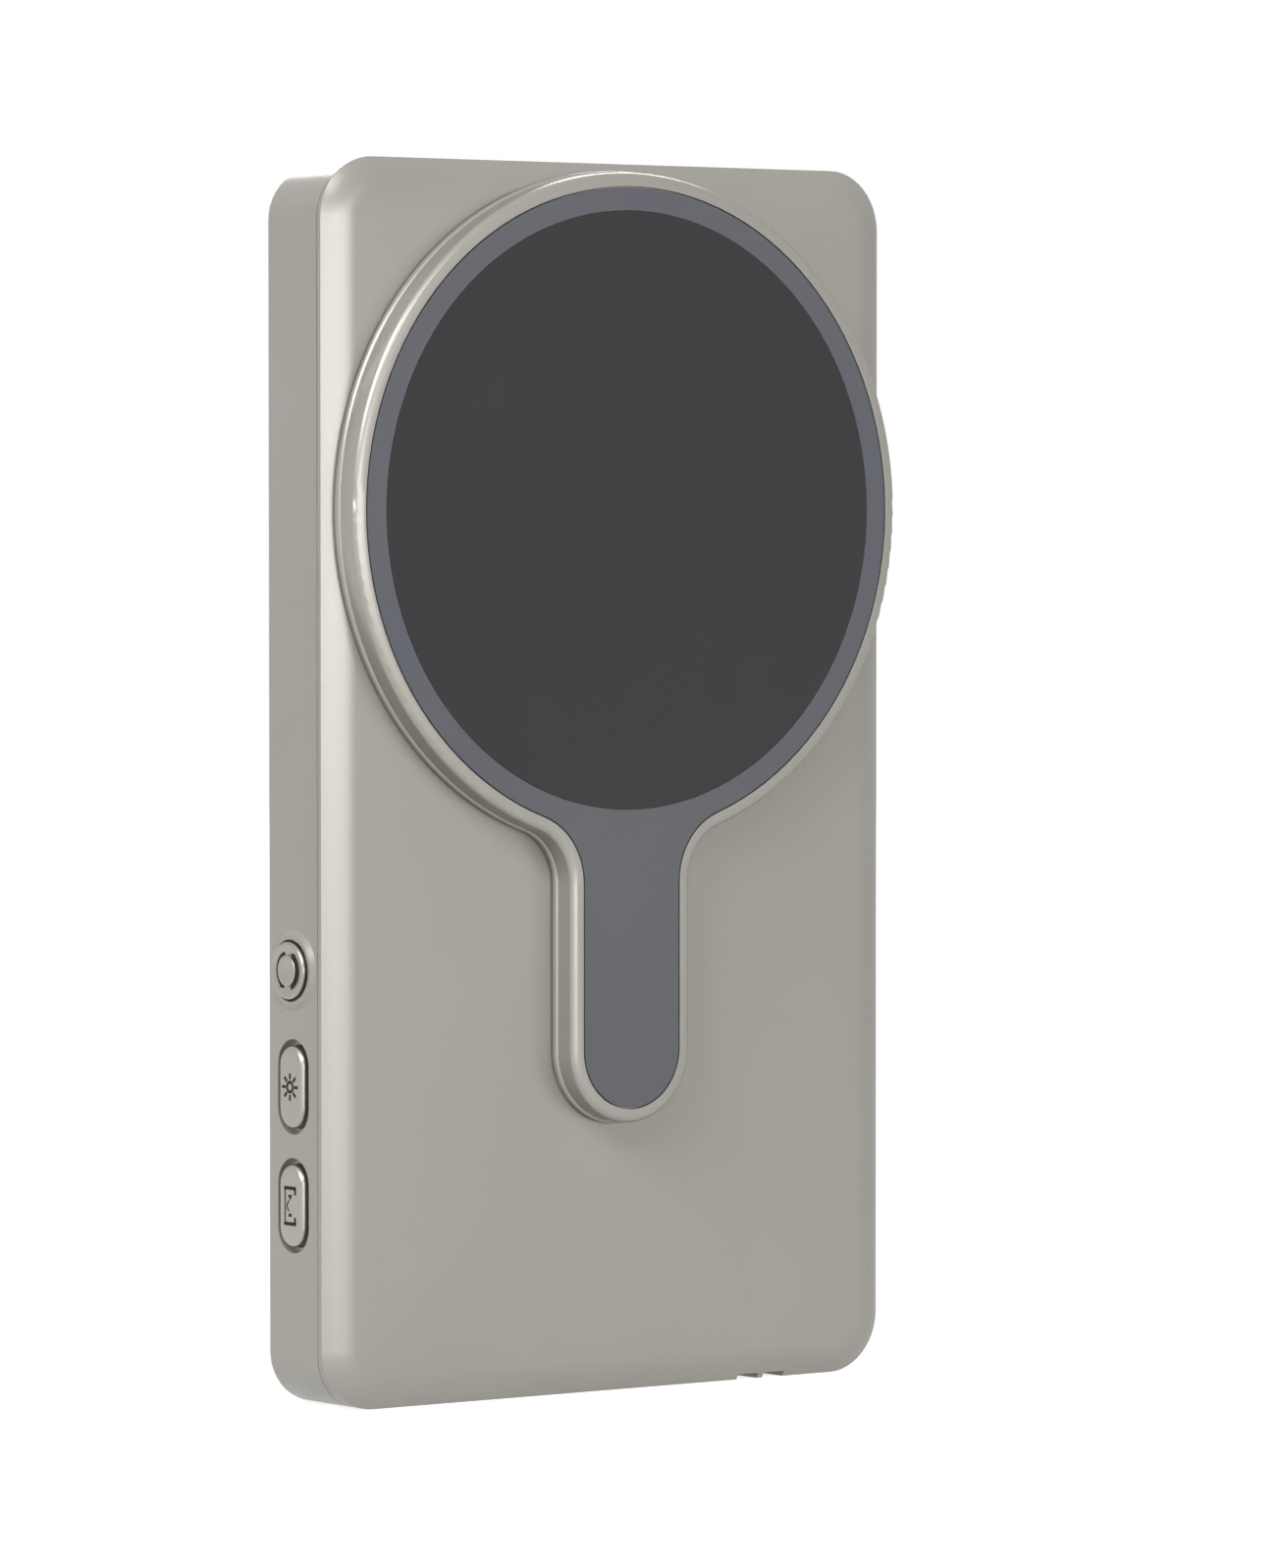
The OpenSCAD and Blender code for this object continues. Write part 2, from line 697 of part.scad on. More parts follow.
// A bowed leaf that presses the keeper plate forward
module friction_spring() {
    span = 12;
    rise = wiper_space - 0.15;
    bow_r = (pow(span / 2, 2) + pow(rise, 2)) / (2 * rise);
    middle = neck_z0 + neck_l / 2;
    color(steel) across(3) intersection() {
        translate([keeper_back + 0.02, middle - span / 2]) square([1, span]);
        difference() {
            translate([keeper_back + 0.02 + rise - bow_r, middle]) circle(bow_r, $fn = 400);
            translate([keeper_back + 0.02 + rise - bow_r - 0.1, middle]) circle(bow_r, $fn = 400);
        }
    }
}

// ---- Mirror head ----

// Corner cut off to round an edge at height v, with a crease where the rounding meets the faces
module edge_rounding(out, v, r, crease) {
    translate([-out, v - r]) difference() {
        translate([-cut, 0]) square([cut + r, r + cut]);
        translate([r, 0]) circle(r + crease);
    }
}

// What the heel gives way to when the head tilts
module heel_relief() {
    translate([0, head_back_y, axis_z]) rotate([-heel_slope, 0, 0])
        translate([-handle_r, 0, -2 * handle_r]) cube([2 * handle_r, cut, 2 * handle_r]);
}

// Room round the tongue and the knuckles, open to the back
module barrel_space() {
    reach = pin_l / 2 + barrel_gap;
    space_r = barrel_r + barrel_gap;
    translate([0, axis_y, axis_z]) rotate([0, 90, 0])
        cylinder(h = 2 * reach, r = space_r, center = true);
    box([-reach, axis_y, axis_z - space_r], [reach, head_back_y + cut, axis_z + space_r]);
}

// A slice of the head from v0 to v1, wider by out. Its front edge is rounded one stretch at a time
module rounded_head(out, v0, v1, r) {
    difference() {
        difference() {
            difference() {
                translate([0, 0, v0]) linear_extrude(v1 - v0) head_outline(-out);
                for (side = [-1, 1]) along_neck(side) edge_rounding(out, v1, r, crease / 3);
            }
            along_ring() edge_rounding(out, v1, r, crease);
            along_heel() edge_rounding(out, v1, r, crease);
        }
        along_handle() edge_rounding(out, v1, r, crease);
    }
}

module head_frame() {
    color(metal) difference() {
        facing_front(head_back_y) {
            difference() {
                rounded_head(0, lip_t, head_t, rim_edge_r);
                linear_extrude(ledge_v) head_outline(rim_w);
                linear_extrude(head_t + cut) head_outline(rim_w + ledge_w);
                translate([0, 0, panel_v]) linear_extrude(panel_t + cut) head_outline(rim_w);
            }
            for (p = head_posts) translate([p[0], p[1], back_t])
                cylinder(h = ledge_v + ledge_t / 2 - back_t, r = head_post_r);
        }
        barrel_space();
        heel_relief();
        for (p = head_posts) facing_front(head_back_y - back_t + cut) translate([p[0], p[1], 0])
            cylinder(h = cut + 0.9, r = small_screw_d / 2 + fit_gap);
    }
}

module knuckle_outline() {
    translate([axis_y, axis_z]) circle(barrel_r);
    translate([axis_y, axis_z - barrel_r]) square([head_back_y - back_t / 2 - axis_y, 2 * barrel_r]);
}

module head_back() {
    color(metal) difference() {
        union() {
            facing_front(head_back_y) {
                rounded_head(lip_out, 0, lip_t, lip_edge_r);
                linear_extrude(back_t) head_outline(rim_w + 2 * fit_gap);
            }
            for (side = [-1, 1])
                translate([side * (tongue_w / 2 + washer_t + knuckle_w / 2), 0, 0])
                    across(knuckle_w) knuckle_outline();
        }
        box([-notch_w / 2, head_back_y - back_t - cut, notch_z], [notch_w / 2, head_back_y + cut, notch_top]);
        translate([0, axis_y, axis_z]) rotate([0, 90, 0])
            cylinder(h = pin_l + 2 * cut, r = pin_d / 2 + 0.02, center = true);
        heel_relief();
        for (p = head_posts) facing_front(head_back_y) translate([p[0], p[1], 0])
            screw_hole(small_screw_d, back_t + cut, small_head_d, small_head_h, fit_gap);
    }
}

// The flush blue-grey window over the light ring and the handle
module face_panel() {
    color(panel_blue) facing_front(head_back_y) translate([0, 0, panel_v]) linear_extrude(panel_t)
        difference() {
            head_outline(rim_w + groove_w);
            translate([0, ring_z]) circle(mirror_r + fit_gap);
        }
}

module mirror_glass() {
    color(mirror_dark) facing_front(head_back_y) translate([0, ring_z, glass_v])
        cylinder(h = glass_t, r = mirror_r, $fn = 120);
}

module mirror_pad() {
    color(dark) facing_front(head_back_y) translate([0, ring_z, back_t])
        cylinder(h = glass_v - back_t, r = mirror_r - 2.5, $fn = 120);
}

// A ring standing on the back of the head, from v0 to v1 of its thickness
module head_ring(r0, r1, v0, v1) {
    facing_front(head_back_y) translate([0, ring_z, v0]) difference() {
        cylinder(h = v1 - v0, r = r1, $fn = 120);
        translate([0, 0, -cut]) cylinder(h = v1 - v0 + 2 * cut, r = r0, $fn = 120);
    }
}

module light_guide() {
    color("white") head_ring(mirror_r + 0.2, ring_r - rim_w - ledge_w - 0.1,
                             back_t + led_board_t + led_t + 0.05, panel_v - 0.05);
}

module led_board() {
    color(dark) head_ring(mirror_r + 0.2, ring_r - rim_w - 0.2, back_t, back_t + led_board_t);
}

module ring_leds() {
    color("lemonchiffon") facing_front(head_back_y) for (i = [0:led_count - 1])
        translate([0, ring_z, back_t + led_board_t]) rotate((i + 0.5) * 360 / led_count)
            translate([led_r - 0.7, -0.7, 0]) cube([1.4, 1.4, led_t]);
}

module hinge_pin() {
    color(steel) translate([0, axis_y, axis_z]) rotate([0, 90, 0])
        cylinder(h = pin_l, r = pin_d / 2, center = true);
}

module hinge_washers() {
    washer_slip = 0.02;
    color(copper) for (side = [-1, 1])
        translate([side * (tongue_w + washer_t) / 2, axis_y, axis_z]) rotate([0, 90, 0])
            difference() {
                cylinder(h = washer_t - 2 * washer_slip, r = barrel_r, center = true);
                cylinder(h = 1, r = pin_d / 2 + 0.02, center = true);
            }
}

module head_screws() {
    color(steel) for (p = head_posts) facing_front(head_back_y) translate([p[0], p[1], 0])
        screw(small_screw_d, back_t + 0.7, small_head_d, small_head_h);
}

// ---- Controls ----

module button(z) {
    on_left_wall(z) {
        translate([0, 0, -flange_out - flange_t / 2])
            soft_pill(cap_l, cap_w, flange_out + flange_t / 2 + cap_proud, cap_edge_r);
        translate([0, 0, -flange_out - flange_t]) linear_extrude(flange_t)
            pill(recess_l - 0.2, recess_w - 0.2);
        translate([0, 0, -flange_out - flange_t - stub_l]) cylinder(h = stub_l + 0.1, r = 1);
    }
}

module brightness_button() {
    color(metal) button(brightness_z);
}

module mode_button() {
    color(metal) button(mode_z);
}

// Does not turn: it carries the dial and presses the encoder
module dial_plunger() {
    color(steel) on_left_wall(dial_z) {
        translate([0, 0, -plunger_in]) cylinder(h = plunger_in + dial_proud - 0.6, r = spindle_r);
        translate([0, 0, -flange_out - flange_t]) cylinder(h = flange_t, r = hub_r + 0.9);
    }
}

// Section of the dial: rounded rim, dished ring and a raised middle with a shallow dimple
module dial_section() {
    r = dial_d / 2;
    low = dial_proud - dial_t;
    top = dial_proud + pad_rise;
    difference() {
        union() {
            translate([0, low]) difference() {
                soft_section(r, dial_t, dial_rim);
                polygon([[pad_r, dial_t - 0.3], [r - 2 * dial_rim, dial_t - 0.12],
                         [r - dial_rim, dial_t], [r - dial_rim, dial_t + 1], [pad_r, dial_t + 1]]);
            }
            translate([0, low]) soft_section(pad_r, dial_t + pad_rise, 0.25);
            translate([0, 0.05 - flange_out]) square([hub_r, flange_out + low]);
        }
        polygon([[-1, top - 0.15], [0, top - 0.15], [pad_r - 0.4, top], [pad_r - 0.4, top + 1],
                 [-1, top + 1]]);
        translate([-1, -flange_out - cut])
            square([1 + spindle_r + fit_gap, flange_out + cut + dial_proud - 0.55]);
    }
}

module dial_cap() {
    color(metal) on_left_wall(dial_z) rotate_extrude() intersection() {
        dial_section();
        translate([0, -flange_out]) square([dial_d, flange_out + dial_proud + pad_rise]);
    }
}

// ---- Inside the slab ----

module side_board() {
    inner = -house_w / 2 + board_in;
    color("darkgreen") box([inner, controls_y - side_board_front, mode_z - side_board_low],
        [inner + board_t, floor_y - 0.05, dial_z + side_board_high]);
}

module switch_body(z) {
    on_left_wall(z) translate([0, 0, -board_in]) {
        linear_extrude(switch_h) square(switch_w, center = true);
        cylinder(h = switch_h + knob_h, r = 0.8);
    }
}

module brightness_switch() {
    color(dark) switch_body(brightness_z);
}

module mode_switch() {
    color(dark) switch_body(mode_z);
}

module dial_encoder() {
    color(dark) on_left_wall(dial_z) translate([0, 0, -board_in]) linear_extrude(encoder_t)
        square(encoder_w, center = true);
}

module main_board() {
    color("darkgreen") difference() {
        box([board_x0, board_front, board_z0], [board_x1, board_back, board_z1]);
        for (p = board_posts) facing_front(board_back + cut) translate([p[0], p[1], 0])
            cylinder(h = board_t + 2 * cut, r = small_screw_d / 2 + fit_gap);
    }
}

module board_screws() {
    color(steel) for (p = board_posts) facing_back(board_front) translate([p[0], p[1], 0]) {
        cylinder(h = board_t + 1.2, r = small_screw_d / 2);
        mirror([0, 0, 1]) cylinder(h = small_head_h, r = small_head_d / 2);
    }
}

module board_parts() {
    color(dark) for (c = chips) translate([board_x0 + c[0], board_front - c[4], board_z0 + c[1]])
        cube([c[2], c[4], c[3]]);
}

module usb_socket() {
    inner_l = usb_l - 0.6;
    inner_w = usb_w - 0.6;
    color(steel) translate([house_w / 2 - 0.4, usb_y, usb_z]) rotate([0, -90, 0]) {
        difference() {
            linear_extrude(usb_depth) pill(usb_l, usb_w);
            translate([0, 0, -cut]) linear_extrude(usb_depth - 0.8 + cut) pill(inner_l, inner_w);
        }
        translate([0, 0, 1.2]) linear_extrude(usb_depth - 1.5) square([6.7, 0.7], center = true);
    }
}

module battery_pad() {
    color(dark) box([-battery_w / 2 + 4, battery_back, battery_z + 4],
        [battery_w / 2 - 4, floor_y, battery_z + battery_l - 4]);
}

module battery_cell() {
    color("silver") facing_front(battery_back) translate([0, battery_z + battery_l / 2, 0])
        linear_extrude(battery_t) rounded_rectangle(battery_w, battery_l, 2);
}

rear_housing();
front_cover();
housing_screws();
slide_track();
track_screws();
contact_strips();
travel_bumpers();
battery_pad();
battery_cell();
main_board();
board_parts();
board_screws();
usb_socket();
side_board();
brightness_switch();
mode_switch();
dial_encoder();
brightness_button();
mode_button();
dial_plunger();
dial_cap();
slide_carriage();
keeper_plate();
keeper_screws();
wiper_contacts();
friction_spring();
head_frame();
head_back();
face_panel();
mirror_glass();
mirror_pad();
light_guide();
led_board();
ring_leds();
hinge_pin();
hinge_washers();
head_screws();
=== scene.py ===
"""Dresses the extendable shaving mirror and sets it in a plain, pale studio."""

import logging
import math
from dataclasses import dataclass, replace
from enum import Enum

import bmesh
import bpy
from mathutils import Matrix, Vector


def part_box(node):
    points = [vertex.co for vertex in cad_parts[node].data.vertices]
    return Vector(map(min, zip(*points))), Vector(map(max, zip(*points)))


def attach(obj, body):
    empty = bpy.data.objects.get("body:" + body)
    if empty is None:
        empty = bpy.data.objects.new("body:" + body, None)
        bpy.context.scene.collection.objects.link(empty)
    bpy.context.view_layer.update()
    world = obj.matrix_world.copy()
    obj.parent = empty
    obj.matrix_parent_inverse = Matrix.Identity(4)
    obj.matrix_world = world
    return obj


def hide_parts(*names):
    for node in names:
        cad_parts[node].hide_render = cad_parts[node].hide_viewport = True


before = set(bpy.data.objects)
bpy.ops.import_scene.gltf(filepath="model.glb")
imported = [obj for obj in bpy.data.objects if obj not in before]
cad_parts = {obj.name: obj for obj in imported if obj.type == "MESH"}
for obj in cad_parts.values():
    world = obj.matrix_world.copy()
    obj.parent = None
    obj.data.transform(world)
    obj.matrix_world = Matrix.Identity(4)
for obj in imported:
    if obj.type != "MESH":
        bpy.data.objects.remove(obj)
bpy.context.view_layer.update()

log = logging.getLogger("shaving_mirror")

MM = 0.001
WELD = 0.0005 * MM


def linear(channel: float) -> float:
    """Turns one display colour channel, 0 to 255, into linear light."""
    value = channel / 255
    return value / 12.92 if value <= 0.04045 else ((value + 0.055) / 1.055) ** 2.4


def colour(red: float, green: float, blue: float) -> tuple[float, float, float, float]:
    """Turns a display colour, 0 to 255, into a linear one with full alpha."""
    return (linear(red), linear(green), linear(blue), 1.0)


# ---- Finishes ----


class Texture(Enum):
    """How the fine texture of a finish is laid."""

    EVEN = (1.0, 1.0, 1.0)
    BRUSHED_UP = (14.0, 14.0, 0.6)
    BRUSHED_ACROSS = (0.6, 14.0, 14.0)
    FLAKED = (1.0, 1.0, 3.0)


@dataclass(frozen=True)
class Finish:
    """One surface finish.

    Attributes:
        name: Name of the material.
        base: Main colour, linear.
        tint: Colour that the main one drifts to in broad, faint patches.
        metallic: One for bare metal, zero for anything else.
        roughness: Middle of the roughness.
        spread: How far the roughness drifts to each side of the middle.
        grain: Size of the fine texture, in metres.
        depth: Height of the fine texture, in metres.
        texture: How the fine texture is laid.
        wear: How much the edges are rubbed brighter.
        coat: Weight of a clear coat.
        specular: Level of the surface reflection.
    """

    name: str
    base: tuple[float, float, float, float]
    tint: tuple[float, float, float, float]
    metallic: float = 0.0
    roughness: float = 0.4
    spread: float = 0.04
    grain: float = 0.4 * MM
    depth: float = 0.004 * MM
    texture: Texture = Texture.EVEN
    wear: float = 0.0
    coat: float = 0.0
    specular: float = 0.5


SATIN_METAL = Finish("satin metal", colour(159, 156.5, 150), colour(156, 152.5, 145),
                     metallic=0.42, roughness=0.32, spread=0.03, grain=0.35 * MM,
                     depth=0.0025 * MM, wear=0.35)
RIM_METAL = replace(SATIN_METAL, name="satin rim metal", metallic=0.5, roughness=0.33,
                    depth=0.002 * MM, wear=0.2)
KEY_METAL = Finish("satin key metal", colour(166, 162, 154), colour(158, 153, 143),
                   metallic=1.0, roughness=0.34, grain=0.3 * MM, depth=0.003 * MM, wear=0.5)
STEEL = Finish("brushed steel", colour(176, 177, 178), colour(160, 161, 164),
               metallic=1.0, roughness=0.3, spread=0.08, grain=0.2 * MM,
               texture=Texture.BRUSHED_UP, wear=0.3)
PLATED_SCREW = Finish("plated screw steel", colour(150, 148, 144), colour(120, 118, 116),
                      metallic=1.0, roughness=0.3, spread=0.06, grain=0.15 * MM,
                      depth=0.003 * MM, texture=Texture.BRUSHED_ACROSS, wear=0.5)
DARK_MIRROR = Finish("dark mirror", colour(68, 68, 68), colour(65, 65, 67),
                     metallic=1.0, roughness=0.05, spread=0.02, grain=6 * MM,
                     depth=0.0001 * MM)
WINDOW = Finish("blue-grey window", colour(95, 96, 99), colour(88, 90, 99),
                roughness=0.38, spread=0.03, grain=0.3 * MM, depth=0.001 * MM,
                coat=0.15, specular=0.35)
DARK_PLASTIC = Finish("dark plastic", colour(38, 38, 40), colour(52, 51, 50),
                      roughness=0.55, spread=0.08, grain=0.25 * MM, depth=0.006 * MM)
FROSTED = Finish("frosted guide", colour(236, 236, 230), colour(222, 224, 220),
                 roughness=0.6, spread=0.05, grain=0.3 * MM)
SOLDER_MASK = Finish("solder mask", colour(24, 74, 46), colour(32, 92, 60),
                     roughness=0.32, spread=0.06, grain=1.2 * MM, depth=0.01 * MM,
                     texture=Texture.FLAKED, coat=0.3)
CONTACT = Finish("gilt contact", colour(206, 170, 104), colour(180, 142, 80),
                 metallic=1.0, roughness=0.28, spread=0.07, grain=0.2 * MM,
                 depth=0.003 * MM, texture=Texture.BRUSHED_UP, wear=0.3)
POUCH = Finish("cell pouch", colour(186, 188, 192), colour(168, 170, 176),
               metallic=1.0, roughness=0.34, spread=0.1, grain=2.5 * MM,
               depth=0.05 * MM, texture=Texture.FLAKED)
RUBBER = Finish("soft rubber", colour(30, 30, 31), colour(44, 43, 42),
                roughness=0.8, spread=0.08, grain=0.3 * MM, depth=0.012 * MM)
PHOSPHOR = Finish("lamp phosphor", colour(238, 222, 140), colour(226, 200, 108),
                  spread=0.05, grain=0.15 * MM)
INK = Finish("engraved sign", colour(28, 24, 21), colour(40, 35, 30),
             roughness=0.6, spread=0.08, grain=0.1 * MM, depth=0.002 * MM, specular=0.2)

DRIFT_SCALE = 22.0
DRIFT_DETAIL = {"Detail": 3.0, "Roughness": 0.55}
DRIFT_SPAN = {"From Min": 0.32, "From Max": 0.68}
GRAIN_SCALE = 2500.0
GRAIN_DETAIL = {"Detail": 2.5, "Roughness": 0.6}
GRAIN_SPAN = {"From Min": 0.25, "From Max": 0.75}
WEAR_RADIUS = 0.25 * MM
WEAR_SPAN = {"From Min": 0.995, "From Max": 0.86}
WEAR_BRIGHTER = 1.35
COAT_ROUGHNESS = 0.2


def add_group(name: str, inputs: dict[str, tuple[str, float]],
              outputs: dict[str, str]) -> bpy.types.NodeTree:
    """Makes an empty shader node group with its sockets.

    Args:
        name: Name of the group.
        inputs: Type and first value of each input, by its name.
        outputs: Type of each output, by its name.

    Returns:
        The group, with its input and output nodes in place.
    """
    group = bpy.data.node_groups.new(name, "ShaderNodeTree")
    for label, (kind, value) in inputs.items():
        socket = group.interface.new_socket(name=label, in_out="INPUT", socket_type=kind)
        if kind == "NodeSocketFloat":
            socket.default_value = value
    for label, kind in outputs.items():
        group.interface.new_socket(name=label, in_out="OUTPUT", socket_type=kind)
    group.nodes.new("NodeGroupInput")
    group.nodes.new("NodeGroupOutput")
    return group


def add_node(tree: bpy.types.NodeTree, kind: str, values: dict[str | int, object] | None = None,
             **settings: object) -> bpy.types.Node:
    """Adds a node, sets its options and fills or links its inputs.

    Args:
        tree: Tree that gets the node.
        kind: Type of the node.
        values: For each input, a plain value or the socket that feeds it.
        **settings: Options of the node itself.

    Returns:
        The new node.
    """
    node = tree.nodes.new(kind)
    for option, setting in settings.items():
        setattr(node, option, setting)
    for key, value in (values or {}).items():
        if isinstance(value, bpy.types.NodeSocket):
            tree.links.new(value, node.inputs[key])
        else:
            node.inputs[key].default_value = value
    return node


def texture_group() -> bpy.types.NodeTree:
    """Builds the group that gives a surface its broad drift and fine grain.

    Returns:
        The group.
    """
    group = add_group("surface texture",
                      {"Vector": ("NodeSocketVector", 0.0),
                       "Grain": ("NodeSocketFloat", GRAIN_SCALE),
                       "Drift": ("NodeSocketFloat", DRIFT_SCALE)},
                      {"Drift": "NodeSocketFloat", "Grain": "NodeSocketFloat"})
    source = group.nodes["Group Input"].outputs
    sink = group.nodes["Group Output"].inputs
    where = add_node(group, "ShaderNodeTexCoord").outputs["Object"]
    broad = add_node(group, "ShaderNodeTexNoise",
                     {"Vector": where, "Scale": source["Drift"], **DRIFT_DETAIL})
    even = add_node(group, "ShaderNodeMapRange", {"Value": broad.outputs[0], **DRIFT_SPAN})
    fine = add_node(group, "ShaderNodeTexNoise",
                    {"Vector": source["Vector"], "Scale": source["Grain"], **GRAIN_DETAIL})
    group.links.new(even.outputs[0], sink["Drift"])
    group.links.new(fine.outputs[0], sink["Grain"])
    return group


def wear_group() -> bpy.types.NodeTree:
    """Builds the group that finds the outer edges where a finish is rubbed.

    Returns:
        The group.
    """
    group = add_group("edge wear", {"Grain": ("NodeSocketFloat", 0.5)},
                      {"Mask": "NodeSocketFloat"})
    source = group.nodes["Group Input"].outputs
    sink = group.nodes["Group Output"].inputs
    rounded = add_node(group, "ShaderNodeBevel", {"Radius": WEAR_RADIUS}, samples=4)
    flat = add_node(group, "ShaderNodeNewGeometry")
    agree = add_node(group, "ShaderNodeVectorMath",
                     {0: rounded.outputs[0], 1: flat.outputs["Normal"]},
                     operation="DOT_PRODUCT")
    edge = add_node(group, "ShaderNodeMapRange", {"Value": agree.outputs["Value"], **WEAR_SPAN})
    patchy = add_node(group, "ShaderNodeMath", {0: edge.outputs[0], 1: source["Grain"]},
                      operation="MULTIPLY")
    group.links.new(patchy.outputs[0], sink["Mask"])
    return group


class Finisher:
    """Turns finishes into materials, each made once."""

    def __init__(self) -> None:
        """Builds the shared groups."""
        self.texture = texture_group()
        self.wear = wear_group()
        self.made: dict[str, bpy.types.Material] = {}

    def material(self, finish: Finish) -> bpy.types.Material:
        """Gives the material of a finish.

        Args:
            finish: The finish to build or fetch.

        Returns:
            Its material.
        """
        if finish.name not in self.made:
            self.made[finish.name] = self.build(finish)
        return self.made[finish.name]

    def build(self, finish: Finish) -> bpy.types.Material:
        """Builds the nodes of a finish.

        Args:
            finish: The finish to build.

        Returns:
            The new material.
        """
        material = bpy.data.materials.new(finish.name)
        material.use_nodes = True
        tree = material.node_tree
        shader = tree.nodes["Principled BSDF"]
        where = add_node(tree, "ShaderNodeTexCoord").outputs["Object"]
        laid = add_node(tree, "ShaderNodeMapping", {"Vector": where,
                                                    "Scale": finish.texture.value})
        detail = add_node(tree, "ShaderNodeGroup", node_tree=self.texture)
        tree.links.new(laid.outputs[0], detail.inputs["Vector"])
        detail.inputs["Grain"].default_value = 1.0 / finish.grain
        detail.inputs["Drift"].default_value = DRIFT_SCALE
        tone = add_node(tree, "ShaderNodeMix",
                        {"Factor": detail.outputs["Drift"], "A": finish.base,
                         "B": finish.tint}, data_type="RGBA")
        base = tone.outputs["Result"]
        if finish.wear:
            rubbed = add_node(tree, "ShaderNodeGroup", {"Grain": detail.outputs["Grain"]},
                              node_tree=self.wear)
            amount = add_node(tree, "ShaderNodeMath",
                              {0: rubbed.outputs["Mask"], 1: finish.wear},
                              operation="MULTIPLY")
            bright = tuple(min(1.0, WEAR_BRIGHTER * part) for part in finish.base[:3]) + (1.0,)
            worn = add_node(tree, "ShaderNodeMix",
                            {"Factor": amount.outputs[0], "A": base, "B": bright},
                            data_type="RGBA")
            base = worn.outputs["Result"]
        tree.links.new(base, shader.inputs["Base Color"])
        rough = add_node(tree, "ShaderNodeMapRange",
                         {"Value": detail.outputs["Grain"], **GRAIN_SPAN,
                          "To Min": finish.roughness - finish.spread,
                          "To Max": finish.roughness + finish.spread})
        tree.links.new(rough.outputs[0], shader.inputs["Roughness"])
        bump = add_node(tree, "ShaderNodeBump",
                        {"Height": detail.outputs["Grain"], "Strength": 1.0,
                         "Distance": finish.depth})
        tree.links.new(bump.outputs[0], shader.inputs["Normal"])
        shader.inputs["Metallic"].default_value = finish.metallic
        shader.inputs["Coat Weight"].default_value = finish.coat
        shader.inputs["Coat Roughness"].default_value = COAT_ROUGHNESS
        shader.inputs["Specular IOR Level"].default_value = finish.specular
        return material


# ---- Pieces ----

ARC_STEP_DEGREES = 8


def piece_from(mesh: bmesh.types.BMesh, name: str, body: str,
               material: bpy.types.Material, smooth: float) -> bpy.types.Object:
    """Turns a bmesh into a smoothly shaded piece that rides on a body.

    Args:
        mesh: The shape, which is freed.
        name: Name of the piece.
        body: Body that carries it.
        material: Its material.
        smooth: Angle in degrees above which an edge stays sharp.

    Returns:
        The piece.
    """
    data = bpy.data.meshes.new(name)
    mesh.to_mesh(data)
    mesh.free()
    stored = data.attributes.get("custom_normal")
    if stored:
        data.attributes.remove(stored)
    data.polygons.foreach_set("use_smooth", [True] * len(data.polygons))
    data.set_sharp_from_angle(angle=math.radians(smooth))
    data.materials.clear()
    data.materials.append(material)
    piece = bpy.data.objects.new(name, data)
    bpy.context.scene.collection.objects.link(piece)
    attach(piece, body)
    log.info("built %s", name)
    return piece


def block(mesh: bmesh.types.BMesh, centre: tuple[float, float, float],
          size: tuple[float, float, float], turn: float = 0.0) -> None:
    """Adds a bar, turned about Z round the origin.

    Args:
        mesh: Mesh that gets the bar.
        centre: Middle of the bar before it is turned.
        size: Its three sides.
        turn: Turn in radians.
    """
    bmesh.ops.create_cube(mesh, size=1.0,
                          matrix=Matrix.Rotation(turn, 4, "Z") @ Matrix.Translation(centre)
                          @ Matrix.Diagonal((*size, 1.0)))


def arc_bar(mesh: bmesh.types.BMesh, radius: float, width: float, height: float,
            start: float, sweep: float) -> None:
    """Adds a bar of square section bent along an arc about Z.

    Args:
        mesh: Mesh that gets the bar.
        radius: Middle radius of the arc.
        width: Width of the bar.
        height: Height of the bar, which stands on zero.
        start: Angle of its first end in degrees.
        sweep: Angle it covers in degrees.
    """
    closed = abs(sweep) >= 360
    corners = [Vector((radius + side * width / 2, 0, level))
               for side, level in ((-1, 0), (1, 0), (1, height), (-1, height))]
    verts = [mesh.verts.new(corner) for corner in corners]
    bmesh.ops.rotate(mesh, cent=(0, 0, 0), verts=verts,
                     matrix=Matrix.Rotation(math.radians(start), 3, "Z"))
    rim = [mesh.edges.new((verts[i], verts[(i + 1) % 4])) for i in range(4)]
    cap = [] if closed else [mesh.faces.new(verts)]
    bmesh.ops.spin(mesh, geom=rim if closed else rim + cap + verts, cent=(0, 0, 0),
                   axis=(0, 0, 1), angle=math.radians(sweep),
                   steps=max(4, int(abs(sweep) / ARC_STEP_DEGREES)), use_merge=closed)


def wedge(mesh: bmesh.types.BMesh, tip: tuple[float, float], back: tuple[float, float],
          half: float, height: float) -> None:
    """Adds a flat arrowhead that stands on zero.

    Args:
        mesh: Mesh that gets it.
        tip: Where it points.
        back: Middle of its base.
        half: Half the width of its base.
        height: Its thickness.
    """
    along = Vector(tip) - Vector(back)
    side = Vector((-along.y, along.x)).normalized() * half
    verts = [mesh.verts.new((*point, 0.0))
             for point in (Vector(tip), Vector(back) + side, Vector(back) - side)]
    face = mesh.faces.new(verts)
    raised = bmesh.ops.extrude_face_region(mesh, geom=[face])
    top = [item for item in raised["geom"] if isinstance(item, bmesh.types.BMVert)]
    bmesh.ops.translate(mesh, vec=(0, 0, height), verts=top)


